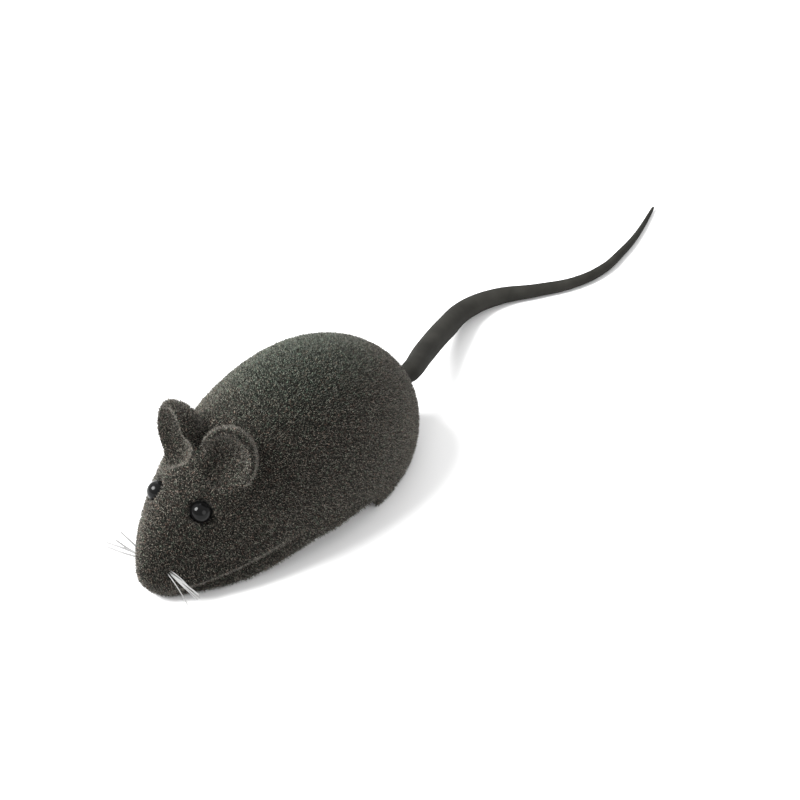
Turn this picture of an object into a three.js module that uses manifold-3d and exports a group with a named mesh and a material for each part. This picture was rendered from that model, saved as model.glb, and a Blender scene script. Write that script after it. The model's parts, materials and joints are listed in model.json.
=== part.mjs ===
// Clockwork mouse: a flocked vinyl shell with bead eyes, nylon whiskers and a rubber tail,
// screwed over a wheeled chassis that carries a spring motor wound by a side key.
// Millimetres. +X ahead (to the snout), +Y to the mouse's left, +Z up, the floor at z = 0.
// Sub-parts are laid out about the middle of the body, and the finished toy is shifted so that
// its origin lies on the floor under the middle of its outline, tail included.
import * as THREE from "three";
import { mergeVertices } from "three/addons/utils/BufferGeometryUtils.js";
import Module from "manifold-3d";

const wasm = await Module();
wasm.setup();

// ---------------------------------------------------------------- driving dimensions
const ORIGIN_SHIFT = { x: 44.8, y: 3.2 }; // middle of the body, seen from the toy's origin
const FIT = 0.05; // between two faces that bear on each other
const RUN = 0.1; // radial running clearance of a shaft in its bearing
const FAR = 60; // past every side of the body

// The body is a loft along X. Each list holds Bezier control values, rump first, snout last.
const BODY_LENGTH = 70;
const HALF_WIDTH = [9.8, 15.6, 16.7, 15.8, 14.2, 11, 4.4];
const BACK_RISE = [15.6, 23, 24.9, 22.5, 18, 13.1, 7.5];
const BELLY_DROP = [8.4, 15.2, 18.3, 18, 13.6];
const SPINE_Z = [2.3, 8.4, 9.8, 6.3];
const UPPER_POWER = 2.1; // superellipse power of a section above the spine line
const LOWER_POWER = 2.6;
const SHELL_WALL = 1.5;
// Height of the shell's lower edge: low at the haunches, raised under the belly, low again at
// the chest and the chin.
const RIM = { haunch: 0.4, belly: 3.2, chest: 0.5, chin: 0.4 };
const RIM_X = { nick: -8.8, belly: 7, chest: 19, chin: 28 };

const EAR = { x: 19.4, y: 6.4, z: 23.4, wide: 5.2, tall: 5.9, deep: 5.8, cup: 4, wall: 0.9 };
const EAR_TURN = { toe: 29, lean: 8, splay: 8 };
const EYE = { x: 24.8, y: 4.7, z: 15.6, radius: 1.8, stem: 0.7 };
const WHISKER = { x: 31.4, y: 2.9, z: 7, radius: 0.22, length: 9 };

const PLATE_Z = 2.2; // underside of the chassis plate
const PLATE_TOP = 3.6;
const SCREW = { head: 1.9, headHigh: 0.8, shank: 0.9, reach: 7 };
const BOSS_RADIUS = 2.2;
const BOSSES = { front: [27.6, 0], rear_left: [-25.5, 5.2], rear_right: [-25.5, -5.2] };

// Spring motor: a great gear, a second gear and the drive axle, all turning about Y.
const MODULE = 0.5;
const GREAT_TEETH = 32;
const SECOND_TEETH = 28;
const PINION_TEETH = 10;
const WHEEL_RADIUS = 6.5;
const AXLE = { x: -13, z: WHEEL_RADIUS };
const SECOND = { x: -10.25, z: 15.63 };
const ARBOR = { x: -0.6, z: 11.4 };
const FRAME_IN = 5.6; // inner faces of the two motor plates, left and right of the middle
const FRAME_OUT = 6.3;
const HUB = 1.8; // radius of the winding arbor between the motor plates
const SQUARE = 0.8; // half the width of the arbor's square end
const ARBOR_END = 8.2; // where the arbor's round part ends, right of the middle
const GREAT = { y0: 0.7, y1: 2.1 };
const PILLARS = { top: [8.2, 17.8], rear: [-19.4, 12], front: [8.8, 6.4] };
const WHEEL = { inner: 7.1, outer: 10, rim: 5 };

const KEY = { stem: 2, inner: -8.9, neck: -17.6, near: -16.2, far: -20.6, wing: 5.6, thick: 1.2 };
const KEY_BUSH = { bore: 2.15, neck: 2.6, flange: 3.4, lip: 0.6 };
const KEY_PAD = { face: -15.2, radius: 3.8 }; // flat pad on the right flank

const MOTOR_SCREW = { x: 3.5, y: 8.8 };
const FORK_PIN = 0.8;
const FORK = { x: 20.5, trail: 3, wheelRadius: 3.2, wheelHalf: 1.2 };
const FORK_WHEEL = { x: FORK.x - FORK.trail, z: FORK.wheelRadius };
const TURRET = { roof: 8.2, top: 9.3, half: 5, wall: 1 };

const TAIL_ROOT = { x: -31, z: 8.6, neck: 1.3, knob: 2.2 }; // x: inner face of the rump

// ---------------------------------------------------------------- materials
const paint = (color, roughness, metalness = 0) =>
  new THREE.MeshStandardMaterial({ color, roughness, metalness });
const FLOCK = paint(0x33312e, 0.95);
const BLACK_BEAD = paint(0x080808, 0.12);
const NYLON = paint(0xd8d8d4, 0.35);
const RUBBER = paint(0x2f2e2a, 0.75);
const BLACK_PLASTIC = paint(0x1a1a1b, 0.5);
const STEEL = paint(0xb4b6b8, 0.3, 1);
const SPRING_STEEL = paint(0x5f6f8c, 0.3, 1);
const BRASS = paint(0xc9a24b, 0.3, 1);
const TYRE = paint(0x151515, 0.85);
const KEY_METAL = paint(0xc4c6c8, 0.25, 1);

// ---------------------------------------------------------------- solids
// A three.js geometry as a manifold-3d solid, faces outwards.
function solid(geometry) {
  const bare = geometry.clone();
  bare.deleteAttribute("normal");
  bare.deleteAttribute("uv");
  const merged = mergeVertices(bare, 1e-4);
  const triVerts = new Uint32Array(merged.index.array);
  const make = () =>
    new wasm.Manifold(
      new wasm.Mesh({
        numProp: 3,
        vertProperties: new Float32Array(merged.attributes.position.array),
        triVerts,
      }),
    );
  const made = make();
  if (made.volume() > 0) return made;
  for (let i = 0; i < triVerts.length; i += 3) {
    [triVerts[i + 1], triVerts[i + 2]] = [triVerts[i + 2], triVerts[i + 1]];
  }
  return make();
}

function geometryOf(body) {
  const mesh = body.asOriginal().simplify(0.005).getMesh();
  const points = new Float32Array(mesh.numVert * 3);
  for (let i = 0; i < mesh.numVert; i++) {
    points.set(mesh.vertProperties.subarray(i * mesh.numProp, i * mesh.numProp + 3), i * 3);
  }
  return new THREE.BufferGeometry()
    .setAttribute("position", new THREE.BufferAttribute(points, 3))
    .setIndex(new THREE.BufferAttribute(new Uint32Array(mesh.triVerts), 1));
}

const box = (x0, x1, y0, y1, z0, z1) =>
  solid(
    new THREE.BoxGeometry(x1 - x0, y1 - y0, z1 - z0).translate(
      (x0 + x1) / 2,
      (y0 + y1) / 2,
      (z0 + z1) / 2,
    ),
  );

// A turned piece about an axis parallel to Y through (x, z): profile is [radius, y] pairs.
const turnedY = (profile, { x, z }, sides = 16) =>
  solid(
    new THREE.LatheGeometry(
      profile.map(([r, y]) => new THREE.Vector2(r, y)),
      sides,
    ).translate(x, 0, z),
  );

// A turned piece about an upright axis through (x, y): profile is [radius, z] pairs.
const turnedZ = (profile, [x, y], sides = 16) =>
  solid(
    new THREE.LatheGeometry(
      profile.map(([r, z]) => new THREE.Vector2(r, z)),
      sides,
    )
      .rotateX(Math.PI / 2)
      .translate(x, y, 0),
  );

const rodY = (radius, y0, y1, at, sides = 16) =>
  turnedY([[0, y0], [radius, y0], [radius, y1], [0, y1]], at, sides);
const rodZ = (radius, z0, z1, at, sides = 16) =>
  turnedZ([[0, z0], [radius, z0], [radius, z1], [0, z1]], at, sides);

// A flat piece cut from an outline in the X-Z plane, from y0 to y1.
function plateXZ(outline, y0, y1) {
  const shape = new THREE.Shape(outline.map(([x, z]) => new THREE.Vector2(x, z)));
  const flat = new THREE.ExtrudeGeometry(shape, { depth: y1 - y0, bevelEnabled: false });
  return solid(flat.rotateX(Math.PI / 2).translate(0, y1, 0));
}

// ---------------------------------------------------------------- body loft
function bezier(values, t) {
  let row = [...values];
  while (row.length > 1) {
    row = row.slice(1).map((value, i) => row[i] * (1 - t) + value * t);
  }
  return row[0];
}

// One section of the body, t from 0 at the rump to 1 at the snout, inset from the skin.
function section(t, inset) {
  const swell = Math.sin(Math.PI * t);
  return {
    x: -(BODY_LENGTH / 2 - inset) * Math.cos(Math.PI * t),
    half: (bezier(HALF_WIDTH, t) - inset) * swell,
    rise: (bezier(BACK_RISE, t) - inset) * swell,
    drop: (bezier(BELLY_DROP, t) - inset) * swell,
    axis: bezier(SPINE_Z, t),
  };
}

function sectionPoint({ x, half, rise, drop, axis }, angle) {
  const [c, s] = [Math.cos(angle), Math.sin(angle)];
  const power = 2 / (s >= 0 ? UPPER_POWER : LOWER_POWER);
  const y = half * Math.sign(c) * Math.abs(c) ** power;
  const z = axis + (s >= 0 ? rise : drop) * Math.sign(s) * Math.abs(s) ** power;
  return [x, y, z];
}

// The closed body form, inset from the skin by the given depth.
function bodyForm(inset, along, around) {
  const points = [];
  const faces = [];
  for (let i = 1; i < along; i++) {
    const cut = section(i / along, inset);
    for (let j = 0; j < around; j++) {
      points.push(...sectionPoint(cut, (2 * Math.PI * j) / around));
    }
  }
  const at = (i, j) => (i - 1) * around + (j % around);
  const rump = points.length / 3;
  const snout = rump + 1;
  points.push(-(BODY_LENGTH / 2 - inset), 0, SPINE_Z[0]);
  points.push(BODY_LENGTH / 2 - inset, 0, SPINE_Z[SPINE_Z.length - 1]);
  for (let j = 0; j < around; j++) {
    faces.push(rump, at(1, j), at(1, j + 1), snout, at(along - 1, j + 1), at(along - 1, j));
    for (let i = 1; i < along - 1; i++) {
      faces.push(at(i, j), at(i + 1, j), at(i + 1, j + 1));
      faces.push(at(i, j), at(i + 1, j + 1), at(i, j + 1));
    }
  }
  return solid(
    new THREE.BufferGeometry()
      .setAttribute("position", new THREE.Float32BufferAttribute(points, 3))
      .setIndex(faces),
  );
}

const SKIN = bodyForm(0, 24, 24);
const CAVITY = bodyForm(SHELL_WALL, 16, 16);

// An ear: the back half of a tall ball, hollowed into a cup.
function ear(side) {
  const { degToRad } = THREE.MathUtils;
  const turn = new THREE.Matrix4().makeRotationFromEuler(
    new THREE.Euler(
      -side * degToRad(EAR_TURN.splay),
      -degToRad(EAR_TURN.lean),
      side * degToRad(EAR_TURN.toe),
      "ZYX",
    ),
  );
  turn.setPosition(EAR.x, side * EAR.y, EAR.z);
  const bowl = (wide, tall, deep) =>
    solid(new THREE.SphereGeometry(1, 16, 12).scale(deep, wide, tall).applyMatrix4(turn));
  const { wide, tall, deep, cup, wall } = EAR;
  const ahead = new THREE.BoxGeometry(FAR, FAR, FAR).translate(FAR / 2, 0, 0).applyMatrix4(turn);
  return bowl(wide, tall, deep).subtract(bowl(wide - wall, tall - wall, cup)).subtract(solid(ahead));
}

// What is cut away under the shell's lower edge.
const RIM_CUT = [
  [-FAR, -FAR],
  [FAR, -FAR],
  [FAR, RIM.chin],
  [RIM_X.chin, RIM.chin],
  [RIM_X.chin, RIM.chest],
  [RIM_X.chest, RIM.chest],
  [RIM_X.belly, RIM.belly],
  [RIM_X.nick, RIM.belly],
  [RIM_X.nick - 1.5, RIM.haunch],
  [-FAR, RIM.haunch],
];

function bodyShell() {
  const flank = rodY(KEY_PAD.radius, KEY_PAD.face, -ARBOR_END, ARBOR, 18);
  const skin = SKIN.add(ear(1)).add(ear(-1)).add(flank);
  let hollow = CAVITY;
  // Material kept inside the cavity: behind each eye and around each chassis screw.
  for (const side of [1, -1]) {
    const pad = new THREE.SphereGeometry(EYE.radius + 1.4, 12, 8);
    hollow = hollow.subtract(solid(pad.translate(EYE.x, side * EYE.y, EYE.z)));
  }
  for (const at of Object.values(BOSSES)) {
    hollow = hollow.subtract(rodZ(BOSS_RADIUS, PLATE_TOP + FIT, FAR, at, 12));
  }
  let shell = skin.subtract(hollow).subtract(plateXZ(RIM_CUT, -FAR, FAR));
  for (const at of Object.values(BOSSES)) {
    shell = shell.subtract(rodZ(SCREW.shank + RUN, 0, SCREW.reach + 3, at, 10));
  }
  for (const side of [1, -1]) {
    const seat = new THREE.SphereGeometry(EYE.radius + RUN, 12, 8);
    shell = shell.subtract(solid(seat.translate(EYE.x, side * EYE.y, EYE.z)));
    shell = shell.subtract(eyeStem(side, EYE.stem + RUN, 7));
    const [near, far] = [side, side * 8].sort((p, q) => p - q);
    shell = shell.subtract(rodY(0.65, near, far, WHISKER, 8));
  }
  const tailHole = new THREE.CylinderGeometry(TAIL_ROOT.neck + RUN, TAIL_ROOT.neck + RUN, 12, 12);
  tailHole.rotateZ(Math.PI / 2).translate(TAIL_ROOT.x - 3, 0, TAIL_ROOT.z);
  shell = shell.subtract(solid(tailHole));
  return shell.subtract(rodY(KEY_BUSH.neck + RUN, -FAR, -ARBOR_END, ARBOR, 18));
}

// ---------------------------------------------------------------- eyes, whiskers, tail
// A rod from the eye's middle into the head, square to the skin.
function eyeStem(side, radius, length) {
  const inward = new THREE.Vector3(-0.45, -side * 0.72, -0.53).normalize();
  const rod = new THREE.CylinderGeometry(radius, radius, length, 10).translate(0, length / 2, 0);
  rod.applyQuaternion(new THREE.Quaternion().setFromUnitVectors(new THREE.Vector3(0, 1, 0), inward));
  return solid(rod.translate(EYE.x, side * EYE.y, EYE.z));
}

function eye(side) {
  const ball = new THREE.SphereGeometry(EYE.radius, 14, 10).translate(EYE.x, side * EYE.y, EYE.z);
  return solid(ball).add(eyeStem(side, EYE.stem, 5));
}

// A tuft of bristles that fan out of one plug in the snout.
function whiskers(side) {
  const low = Math.min(side * 1.6, side * 4.6);
  let tuft = rodY(0.55, low, low + 3, WHISKER, 8);
  const fan = [
    [0.35, 1, -0.05],
    [0.15, 1, 0.3],
    [0.55, 1, 0.2],
    [0.3, 1, -0.4],
    [-0.05, 1, 0.05],
  ];
  fan.forEach(([ahead, out, up], i) => {
    const along = new THREE.Vector3(ahead, side * out, up).normalize();
    const length = WHISKER.length - 0.9 * i;
    const hair = new THREE.CylinderGeometry(WHISKER.radius * 0.6, WHISKER.radius, length, 5);
    hair.translate(0, length / 2, 0);
    hair.applyQuaternion(
      new THREE.Quaternion().setFromUnitVectors(new THREE.Vector3(0, 1, 0), along),
    );
    hair.translate(WHISKER.x, side * (WHISKER.y + 0.4), WHISKER.z);
    tuft = tuft.add(solid(hair));
  });
  return tuft;
}

// The tail droops to the floor behind the rump and trails along it in two bends. Each entry is
// a point on its centre line and the half-width there; its section is a flat oval.
const TAIL_ROUTE = [
  [-30, 0, 8.6, 1.3],
  [-34.5, 0, 8.6, 1.28],
  [-37, -0.3, 8.45, 1.9],
  [-46, -3.9, 6.5, 2.1],
  [-58, -8.1, 4.1, 2.12],
  [-68, -10.5, 2.5, 1.95],
  [-76, -9.2, 1.75, 1.65],
  [-83, -5, 1.35, 1.3],
  [-90, -1.2, 1.15, 1.05],
  [-97.5, 0.3, 1.05, 0.95],
  [-105, -0.4, 0.95, 0.8],
  [-113, -2, 0.8, 0.6],
  [-124.5, -5.6, 0.6, 0.25],
];
const TAIL_FLATNESS = 0.9; // thickness over width

function tail() {
  const line = new THREE.CatmullRomCurve3(
    TAIL_ROUTE.map(([x, y, z]) => new THREE.Vector3(x, y, z)),
    false,
    "centripetal",
  );
  const steps = 33;
  const sides = 8;
  const points = [];
  const faces = [];
  for (let i = 0; i <= steps; i++) {
    const along = (i / steps) * (TAIL_ROUTE.length - 1);
    const k = Math.min(Math.floor(along), TAIL_ROUTE.length - 2);
    const half = THREE.MathUtils.lerp(TAIL_ROUTE[k][3], TAIL_ROUTE[k + 1][3], along - k);
    const centre = line.getPoint(i / steps);
    const ahead = line.getTangent(i / steps);
    const across = new THREE.Vector3(-ahead.y, ahead.x, 0).normalize();
    const up = new THREE.Vector3().crossVectors(ahead, across).normalize();
    for (let j = 0; j < sides; j++) {
      const angle = (2 * Math.PI * j) / sides;
      const point = centre
        .clone()
        .addScaledVector(across, half * Math.cos(angle))
        .addScaledVector(up, half * TAIL_FLATNESS * Math.sin(angle));
      points.push(point.x, point.y, point.z);
    }
  }
  const at = (i, j) => i * sides + (j % sides);
  const root = points.length / 3;
  points.push(...line.getPoint(0).toArray(), ...line.getPoint(1).toArray());
  for (let j = 0; j < sides; j++) {
    faces.push(root, at(0, j + 1), at(0, j), root + 1, at(steps, j), at(steps, j + 1));
    for (let i = 0; i < steps; i++) {
      faces.push(at(i, j), at(i, j + 1), at(i + 1, j + 1));
      faces.push(at(i, j), at(i + 1, j + 1), at(i + 1, j));
    }
  }
  const strip = solid(
    new THREE.BufferGeometry()
      .setAttribute("position", new THREE.Float32BufferAttribute(points, 3))
      .setIndex(faces),
  );
  const knob = new THREE.LatheGeometry(
    [[0, 0], [TAIL_ROOT.knob, 0], [TAIL_ROOT.knob, 0.9], [1.2, 2.4], [0, 2.4]].map(
      ([r, y]) => new THREE.Vector2(r, y),
    ),
    12,
  );
  knob.rotateZ(-Math.PI / 2).translate(TAIL_ROOT.x, 0, TAIL_ROOT.z);
  return strip.add(solid(knob));
}

// ---------------------------------------------------------------- chassis
function chassis() {
  const plan = bodyForm(SHELL_WALL + 0.45, 24, 24);
  let plate = plan.intersect(box(-FAR, FAR, -FAR, FAR, PLATE_Z, PLATE_TOP));
  // An open slot for each drive wheel, and a window that the gears dip into.
  const slot = WHEEL_RADIUS + 0.7;
  for (const side of [1, -1]) {
    const [near, far] = [side * (WHEEL.inner - 0.4), side * FAR].sort((p, q) => p - q);
    plate = plate.subtract(box(AXLE.x - slot, AXLE.x + slot, near, far, 0, 10));
  }
  plate = plate.subtract(box(AXLE.x - 3.5, ARBOR.x + 5.4, 0.2, 4.9, 0, 10));
  for (const side of [1, -1]) {
    const hole = [MOTOR_SCREW.x, side * MOTOR_SCREW.y];
    plate = plate.subtract(rodZ(SCREW.shank + FIT, 0, 10, hole, 10));
  }
  for (const at of Object.values(BOSSES)) {
    plate = plate.subtract(rodZ(SCREW.shank + RUN, 0, 10, at, 10));
    plate = plate.subtract(rodZ(SCREW.head + RUN, 0, PLATE_Z + SCREW.headHigh, at, 14));
  }
  // The turret over the steering fork: walls and a roof that carries the fork's pivot.
  const { roof, top, half, wall } = TURRET;
  const back = FORK_WHEEL.x - FORK.wheelRadius - 1.5;
  const front = FORK.x + 3.4;
  plate = plate.add(box(back - wall, front + wall, -half, half, PLATE_Z, top));
  plate = plate.subtract(box(back, front, wall - half, half - wall, -1, roof));
  return plate.subtract(rodZ(FORK_PIN + RUN, 0, FAR, [FORK.x, 0], 14));
}

// ---------------------------------------------------------------- spring motor
const FOOT_TOP = PLATE_TOP + FIT + 0.7;

// The bearing plate of one side, with its bent foot.
function motorPlate(side) {
  const outline = [
    [-21, 8.8],
    [-16, 4.6],
    [10.6, 4.6],
    [10.6, 16],
    [9.6, 19.4],
    [6.4, 19.4],
    [2.5, 16],
    [-4, 17.6],
    [-8, 19.8],
    [-13, 19.4],
    [-21, 14.6],
  ];
  const [a, b] = [side * FRAME_IN, side * FRAME_OUT].sort((p, q) => p - q);
  let plate = plateXZ(outline, a, b);
  const [footIn, footOut] = [side * FRAME_IN, side * (MOTOR_SCREW.y + 1.9)].sort((p, q) => p - q);
  const { x } = MOTOR_SCREW;
  plate = plate.add(box(x - 2.4, x + 2.4, footIn, footOut, PLATE_TOP + FIT, FOOT_TOP));
  plate = plate.add(box(x - 2.4, x + 2.4, a, b, PLATE_TOP + FIT, 5));
  plate = plate.subtract(rodZ(SCREW.shank + RUN, 0, 10, [x, side * MOTOR_SCREW.y], 12));
  const bore = (radius, at) => {
    plate = plate.subtract(rodY(radius + RUN, -FAR, FAR, at, 20));
  };
  bore(1, AXLE);
  bore(0.8, SECOND);
  bore(side > 0 ? 1 : 1.3, ARBOR);
  Object.values(PILLARS).forEach(([px, pz]) => bore(0.7, { x: px, z: pz }));
  return plate;
}

function motorScrew(side) {
  return turnedZ(
    [
      [0, PLATE_Z],
      [SCREW.shank, PLATE_Z + 0.3],
      [SCREW.shank, FOOT_TOP + FIT],
      [1.6, FOOT_TOP + FIT],
      [1.6, FOOT_TOP + 0.5],
      [0.9, FOOT_TOP + 0.9],
      [0, FOOT_TOP + 0.9],
    ],
    [MOTOR_SCREW.x, side * MOTOR_SCREW.y],
    12,
  );
}

function chassisScrew(at) {
  return turnedZ(
    [
      [0, PLATE_Z + 0.1],
      [SCREW.head, PLATE_Z + 0.1],
      [SCREW.head, PLATE_Z + SCREW.headHigh - FIT],
      [SCREW.shank, PLATE_Z + SCREW.headHigh - FIT],
      [SCREW.shank, SCREW.reach + 1],
      [0, SCREW.reach + 2],
    ],
    at,
    12,
  );
}

// A spacer between the motor plates, its ends riveted over outside them.
function pillar([x, z]) {
  const [inner, outer] = [FRAME_IN - FIT, FRAME_OUT + FIT];
  return turnedY(
    [
      [0, -outer - 0.35],
      [1.1, -outer - 0.35],
      [1.1, -outer],
      [0.7, -outer],
      [0.7, -inner],
      [1.2, -inner],
      [1.2, inner],
      [0.7, inner],
      [0.7, outer],
      [1.1, outer],
      [1.1, outer + 0.35],
      [0, outer + 0.35],
    ],
    { x, z },
    12,
  );
}

// A spur gear's outline about (0, 0), its first tooth pointing at the given angle.
function gearOutline(teeth, toothAngle) {
  const pitch = (teeth * MODULE) / 2;
  const base = pitch * Math.cos(THREE.MathUtils.degToRad(20));
  const tip = pitch + 0.92 * MODULE;
  const root = pitch - 1.2 * MODULE;
  const involute = (radius) => {
    const angle = Math.acos(Math.min(1, base / radius));
    return Math.tan(angle) - angle;
  };
  const half = (radius) =>
    (0.86 * Math.PI) / 2 / teeth + involute(pitch) - involute(Math.max(radius, base));
  const points = [];
  for (let i = 0; i < teeth; i++) {
    const middle = toothAngle + (2 * Math.PI * i) / teeth;
    const flank = [root, pitch, tip].map((r) => [r, half(r)]);
    const there = flank.map(([r, h]) => [r, middle - h]);
    const back = flank.reverse().map(([r, h]) => [r, middle + h]);
    for (const [r, angle] of [...there, ...back]) {
      points.push([r * Math.cos(angle), r * Math.sin(angle)]);
    }
  }
  return points;
}

// A gear in the X-Z plane about its shaft, bored to go on it.
function gear(teeth, toothAngle, at, y0, y1, boreRadius) {
  const outline = gearOutline(teeth, toothAngle).map(([x, z]) => [x + at.x, z + at.z]);
  return plateXZ(outline, y0, y1).subtract(rodY(boreRadius, -FAR, FAR, at, 14));
}

const towards = (a, b) => Math.atan2(b.z - a.z, b.x - a.x);
// The great gear has a tooth on the line to the second arbor, and the pinion a space there.
const GREAT_PHASE = towards(ARBOR, SECOND);
const SECOND_PINION_PHASE = towards(SECOND, ARBOR) + Math.PI / PINION_TEETH;
const SECOND_PHASE = towards(SECOND, AXLE);
const AXLE_PHASE = towards(AXLE, SECOND) + Math.PI / PINION_TEETH;

// A square bar on the winding axis, from y0 to y1.
const squareRod = (half, y0, y1) =>
  box(ARBOR.x - half, ARBOR.x + half, y0, y1, ARBOR.z - half, ARBOR.z + half);

function arbor() {
  const turned = turnedY(
    [
      [0, -ARBOR_END],
      [1.3, -ARBOR_END],
      [1.3, RUN - FRAME_IN],
      [HUB, RUN - FRAME_IN],
      [HUB, 2.6],
      [1, 2.6],
      [1, FRAME_OUT + 1],
      [0, FRAME_OUT + 1],
    ],
    ARBOR,
    14,
  );
  return turned.add(squareRod(SQUARE, -12.8, 1 - ARBOR_END));
}

// The mainspring: a flat strip coiled about the arbor. Its outer end leaves the coil on a
// tangent and is looped round the front pillar.
function mainspring() {
  const [inner, outer, turns, thick] = [HUB + 0.5, 7.3, 5, 0.3];
  const post = { x: PILLARS.front[0], z: PILLARS.front[1] };
  const loop = 1.2 + 0.15 + thick / 2;
  const apart = Math.hypot(post.x - ARBOR.x, post.z - ARBOR.z);
  const leave = towards(ARBOR, post) - Math.acos((outer - loop) / apart);
  const coilSteps = 80;
  const loopSteps = 8;
  const line = [];
  for (let i = 0; i <= coilSteps; i++) {
    const share = i / coilSteps;
    const angle = leave + 2 * Math.PI * turns * (share - 1);
    const radius = inner + (outer - inner) * share;
    line.push([ARBOR.x + radius * Math.cos(angle), ARBOR.z + radius * Math.sin(angle)]);
  }
  for (let i = 0; i <= loopSteps; i++) {
    const angle = leave + (i / loopSteps) * THREE.MathUtils.degToRad(240);
    line.push([post.x + loop * Math.cos(angle), post.z + loop * Math.sin(angle)]);
  }
  const edge = (sign) =>
    line.map(([x, z], i) => {
      const [x0, z0] = line[Math.max(i - 1, 0)];
      const [x1, z1] = line[Math.min(i + 1, line.length - 1)];
      const off = (sign * thick) / 2 / Math.hypot(x1 - x0, z1 - z0);
      return [x - (z1 - z0) * off, z + (x1 - x0) * off];
    });
  return plateXZ([...edge(1), ...edge(-1).reverse()], -5.2, -0.9);
}

const RATCHET = { teeth: 12, tip: 3.9, root: 3.2, y0: -0.5, y1: 0.3 };
const RATCHET_PHASE = 0.35; // in teeth: a gap stands under the click's nose
const CLICK_PIN = { x: ARBOR.x - 1.5, z: ARBOR.z - 5.9, radius: 0.45 };

// Saw teeth: the steep faces push the click, the slopes lift it while the key is wound.
function ratchetWheel() {
  const pitch = (2 * Math.PI) / RATCHET.teeth;
  const outline = [];
  for (let i = 0; i < RATCHET.teeth; i++) {
    const angle = pitch * (i + RATCHET_PHASE);
    outline.push([RATCHET.root, angle - 0.05], [RATCHET.tip, angle]);
    outline.push([(RATCHET.tip + RATCHET.root) / 2, angle + pitch / 2]);
  }
  const points = outline.map(([r, angle]) => [
    ARBOR.x + r * Math.cos(angle),
    ARBOR.z + r * Math.sin(angle),
  ]);
  const bore = rodY(HUB + FIT, -FAR, FAR, ARBOR, 14);
  return plateXZ(points, RATCHET.y0, RATCHET.y1).subtract(bore);
}

// Outlines of the click and its spring, as offsets from the winding axis.
const nearArbor = (points) => points.map(([x, z]) => [ARBOR.x + x, ARBOR.z + z]);
const SPRING_PEG = { x: ARBOR.x + 4.4, z: ARBOR.z - 4.7, radius: 0.4 };

// The click stands just clear of the ratchet's tips, nose over a gap.
function click() {
  const outline = nearArbor([
    [-1.3, -6.7],
    [0.4, -5.8],
    [2.75, -4.15],
    [2.55, -3.55],
    [0.3, -4.65],
    [-1.7, -5.05],
    [-2.5, -5.5],
    [-2.4, -6.4],
  ]);
  const arm = plateXZ(outline, RATCHET.y0 + FIT, RATCHET.y1 - FIT);
  return arm.subtract(rodY(CLICK_PIN.radius + FIT, -FAR, FAR, CLICK_PIN, 12));
}

// A leaf that presses the click to the ratchet; its peg stands in the great gear.
function clickSpring() {
  const leaf = nearArbor([
    [4.8, -4.4],
    [1.45, -5.25],
    [1.55, -5.5],
    [4.8, -5],
  ]);
  const { x, z, radius } = SPRING_PEG;
  const peg = rodY(radius, RATCHET.y0 + FIT, GREAT.y1, { x, z }, 10);
  return plateXZ(leaf, RATCHET.y0 + FIT, RATCHET.y1 - FIT).add(peg);
}

function greatGear() {
  const wheel = gear(GREAT_TEETH, GREAT_PHASE, ARBOR, GREAT.y0, GREAT.y1, HUB + RUN);
  return wheel
    .subtract(rodY(CLICK_PIN.radius + FIT, -FAR, FAR, CLICK_PIN, 12))
    .subtract(rodY(SPRING_PEG.radius + FIT, -FAR, FAR, SPRING_PEG, 10));
}

const clickPin = () =>
  turnedY(
    [
      [0, RATCHET.y0 - 0.3],
      [0.8, RATCHET.y0 - 0.3],
      [0.8, RATCHET.y0],
      [CLICK_PIN.radius, RATCHET.y0],
      [CLICK_PIN.radius, GREAT.y1],
      [0, GREAT.y1],
    ],
    CLICK_PIN,
    12,
  );

const SECOND_PINION_Y = [0.4, 2.5];
const SECOND_GEAR_Y = [3, 4.2];
const AXLE_PINION_Y = [2.8, 4.5];

function driveWheel(side) {
  const { inner, outer, rim } = WHEEL;
  const y = (value) => side * value;
  return turnedY(
    [
      [1.05, y(inner)],
      [2, y(inner)],
      [2, y(inner + 0.7)],
      [rim - 1, y(inner + 0.7)],
      [rim - 1, y(inner)],
      [rim, y(inner)],
      [rim, y(outer)],
      [rim - 1, y(outer)],
      [rim - 1, y(outer - 0.6)],
      [0, y(outer - 0.6)],
      [0, y(outer - 1)],
      [1.05, y(outer - 1)],
      [1.05, y(inner)],
    ],
    AXLE,
    22,
  );
}

function tyre(side) {
  const { inner, outer, rim } = WHEEL;
  const y = (value) => side * value;
  const bore = rim + 0.05;
  return turnedY(
    [
      [bore, y(inner)],
      [WHEEL_RADIUS - 0.4, y(inner)],
      [WHEEL_RADIUS, y(inner + 0.5)],
      [WHEEL_RADIUS, y(outer - 0.5)],
      [WHEEL_RADIUS - 0.4, y(outer)],
      [bore, y(outer)],
      [bore, y(inner)],
    ],
    AXLE,
    22,
  );
}

// ---------------------------------------------------------------- key

// A butterfly key lying flat: a hollow stem and two round wings in the X-Y plane.
function windingKey() {
  const { stem, inner, neck, near, far, wing, thick } = KEY;
  const round = (near - far) / 2;
  const outline = new THREE.Shape();
  outline.moveTo(round - wing, near);
  outline.absarc(round - wing, (near + far) / 2, round, Math.PI / 2, (3 * Math.PI) / 2, false);
  outline.lineTo(-1, far + 1.4);
  outline.lineTo(1, far + 1.4);
  outline.lineTo(wing - round, far);
  outline.absarc(wing - round, (near + far) / 2, round, -Math.PI / 2, Math.PI / 2, false);
  outline.lineTo(round - wing, near);
  const bow = new THREE.ExtrudeGeometry(outline, {
    depth: thick,
    bevelEnabled: false,
    curveSegments: 8,
  });
  bow.translate(ARBOR.x, 0, ARBOR.z - thick / 2);
  return rodY(stem, neck, inner, ARBOR, 16)
    .add(solid(bow))
    .subtract(squareRod(SQUARE + FIT, -13.2, 0));
}

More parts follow.
